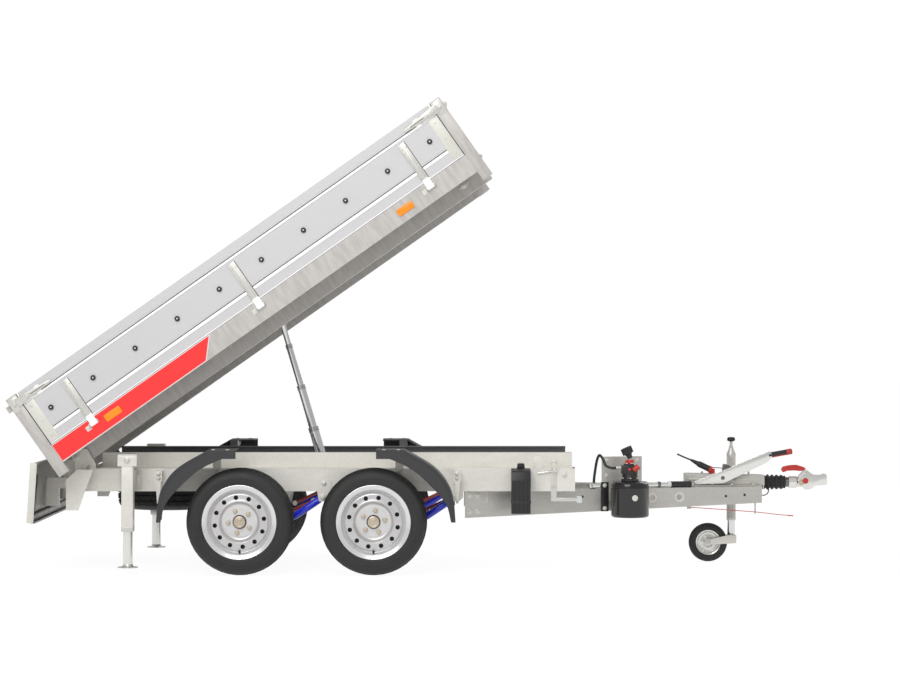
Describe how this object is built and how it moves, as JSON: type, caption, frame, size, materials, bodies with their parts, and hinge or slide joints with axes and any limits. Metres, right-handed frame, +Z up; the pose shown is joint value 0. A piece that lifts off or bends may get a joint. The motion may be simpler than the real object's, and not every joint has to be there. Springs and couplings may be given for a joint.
{
  "type": "tipper trailer",
  "caption": "Tipper trailer with twin axles, a dropside load bed raised by a telescopic cylinder, a V drawbar with jockey wheel and hand pump, and a spare wheel.",
  "frame": {"origin": "middle of the trailer's length and width, on the ground", "axes": "+X forwards to the coupling, +Y to the trailer's left, +Z up"},
  "size_m": [4.0982, 1.647, 2.3328],
  "materials": {
    "galvanised": "hot-dip galvanised, matt spangle",
    "zinc": "zinc plated, satin",
    "aluminium": "anodised, satin",
    "tyre": "matt black tyre rubber",
    "rubber": "matt black rubber",
    "rim_silver": "silver paint",
    "black_plastic": "grained black plastic",
    "gloss_black": "glossy black plastic",
    "black_steel": "black paint",
    "blue_paint": "blue paint",
    "red_plastic": "red plastic",
    "chrome": "polished chrome",
    "floor_steel": "galvanised sheet"
  },
  "bodies": {
    "frame": {"axle_crossmember": "galvanised", "axle_front": "galvanised", "axle_rear": "galvanised", "brake_lever": "zinc", "breakaway_cable": "red_plastic", "chassis_frame": "galvanised", "coupling_handle": "red_plastic", "coupling_head": "galvanised", "cylinder_cradle": "galvanised", "drawbar": "galvanised", "jockey_crank": "black_plastic", "jockey_tube": "zinc", "leg_tube_left": "galvanised", "leg_tube_right": "galvanised", "light_board": "galvanised", "mudguard_front_left": "black_plastic", "mudguard_front_right": "black_plastic", "mudguard_rear_left": "black_plastic", "mudguard_rear_right": "black_plastic", "overrun_bellows": "rubber", "overrun_housing": "galvanised", "plug": "black_plastic", "pump_block": "black_steel", "pump_hose": "black_plastic", "pump_lever": "zinc", "pump_plate": "galvanised", "pump_tank": "gloss_black", "shock_front_left": "blue_paint", "shock_front_right": "blue_paint", "shock_rear_left": "blue_paint", "shock_rear_right": "blue_paint", "spare_wheel": "tyre", "wheel_chock": "black_plastic"},
    "bed": {"bed_frame": "galvanised", "bed_floor": "floor_steel"},
    "side_board_right": {"side_board_right": "aluminium"},
    "side_board_left": {"side_board_left": "aluminium"},
    "tailgate": {"tailgate": "aluminium"},
    "front_board": {"front_board": "aluminium"},
    "cylinder": {"cylinder_barrel": "black_steel"},
    "stage_1": {"cylinder_stage_1": "chrome"},
    "stage_2": {"cylinder_stage_2": "chrome"},
    "stage_3": {"cylinder_stage_3": "chrome"},
    "stage_4": {"cylinder_stage_4": "chrome"},
    "jockey_jack": {"jockey_inner": "zinc"},
    "jockey_fork": {"jockey_fork": "zinc"},
    "jockey_wheel": {"jockey_wheel": "rubber"},
    "leg_foot_right": {"leg_foot_right": "galvanised"},
    "leg_foot_left": {"leg_foot_left": "galvanised"},
    "wheel_front_right": {"tyre_front_right": "tyre", "rim_front_right": "rim_silver"},
    "wheel_front_left": {"tyre_front_left": "tyre", "rim_front_left": "rim_silver"},
    "wheel_rear_right": {"tyre_rear_right": "tyre", "rim_rear_right": "rim_silver"},
    "wheel_rear_left": {"tyre_rear_left": "tyre", "rim_rear_left": "rim_silver"}
  },
  "joints": [
    {"name": "bed_tip", "type": "hinge", "parent": "frame", "child": "bed", "pos_m": [-1.73417, 0, 0.5728], "axis": [0, -1, 0], "range_deg": [-35.05, 0]},
    {"name": "side_board_right_hinge", "type": "hinge", "parent": "bed", "child": "side_board_right", "pos_m": [-0.8012, -0.812, 1.32037], "axis": [0.8187, 0, 0.5743], "range_deg": [0, 180]},
    {"name": "side_board_left_hinge", "type": "hinge", "parent": "bed", "child": "side_board_left", "pos_m": [-0.8012, 0.812, 1.32037], "axis": [-0.8187, 0, -0.5743], "range_deg": [0, 180]},
    {"name": "tailgate_hinge", "type": "hinge", "parent": "bed", "child": "tailgate", "pos_m": [-2.02929, 0, 0.81431], "axis": [0, 1, 0], "range_deg": [0, 75]},
    {"name": "front_board_hinge", "type": "hinge", "parent": "bed", "child": "front_board", "pos_m": [0.2619, 0, 2.06248], "axis": [0, 1, 0], "range_deg": [0, 90]},
    {"name": "cylinder_swing", "type": "hinge", "parent": "frame", "child": "cylinder", "pos_m": [-0.53467, 0, 0.505], "axis": [0, -1, 0], "range_deg": [-16.3, 0]},
    {"name": "stage_1_slide", "type": "slide", "parent": "cylinder", "child": "stage_1", "axis": [-0.2834, 0, 0.959], "range_m": [-0.1826, 0]},
    {"name": "stage_2_slide", "type": "slide", "parent": "stage_1", "child": "stage_2", "axis": [-0.2834, 0, 0.959], "range_m": [-0.2132, 0]},
    {"name": "stage_3_slide", "type": "slide", "parent": "stage_2", "child": "stage_3", "axis": [-0.2834, 0, 0.959], "range_m": [-0.208, 0]},
    {"name": "stage_4_slide", "type": "slide", "parent": "stage_3", "child": "stage_4", "axis": [-0.2834, 0, 0.959], "range_m": [-0.1175, 0]},
    {"name": "wheel_front_right_spin", "type": "hinge", "parent": "frame", "child": "wheel_front_right", "pos_m": [-0.26217, -0.6445, 0.262], "axis": [0, 1, 0], "continuous": true},
    {"name": "wheel_front_left_spin", "type": "hinge", "parent": "frame", "child": "wheel_front_left", "pos_m": [-0.26217, 0.6445, 0.262], "axis": [0, 1, 0], "continuous": true},
    {"name": "wheel_rear_right_spin", "type": "hinge", "parent": "frame", "child": "wheel_rear_right", "pos_m": [-0.91717, -0.6445, 0.262], "axis": [0, 1, 0], "continuous": true},
    {"name": "wheel_rear_left_spin", "type": "hinge", "parent": "frame", "child": "wheel_rear_left", "pos_m": [-0.91717, 0.6445, 0.262], "axis": [0, 1, 0], "continuous": true},
    {"name": "jockey_jack_slide", "type": "slide", "parent": "frame", "child": "jockey_jack", "axis": [0, 0, 1], "range_m": [0, 0.07]},
    {"name": "jockey_swivel", "type": "hinge", "parent": "jockey_jack", "child": "jockey_fork", "pos_m": [1.57413, 0.15, 0.138], "axis": [0, 0, 1], "continuous": true},
    {"name": "jockey_spin", "type": "hinge", "parent": "jockey_fork", "child": "jockey_wheel", "pos_m": [1.45303, 0.15, 0.1], "axis": [0, 1, 0], "continuous": true},
    {"name": "leg_right_slide", "type": "slide", "parent": "frame", "child": "leg_foot_right", "axis": [0, 0, 1], "range_m": [-0.034, 0.115]},
    {"name": "leg_left_slide", "type": "slide", "parent": "frame", "child": "leg_foot_left", "axis": [0, 0, 1], "range_m": [-0.034, 0.115]}
  ],
  "couplings": [
    {"joint": "cylinder_swing", "follows": "bed_tip", "ratio": 0.4619},
    {"joint": "stage_1_slide", "follows": "bed_tip", "m_per_rad": 0.2975},
    {"joint": "stage_2_slide", "follows": "bed_tip", "m_per_rad": 0.3475},
    {"joint": "stage_3_slide", "follows": "bed_tip", "m_per_rad": 0.339},
    {"joint": "stage_4_slide", "follows": "bed_tip", "m_per_rad": 0.1911}
  ]
}
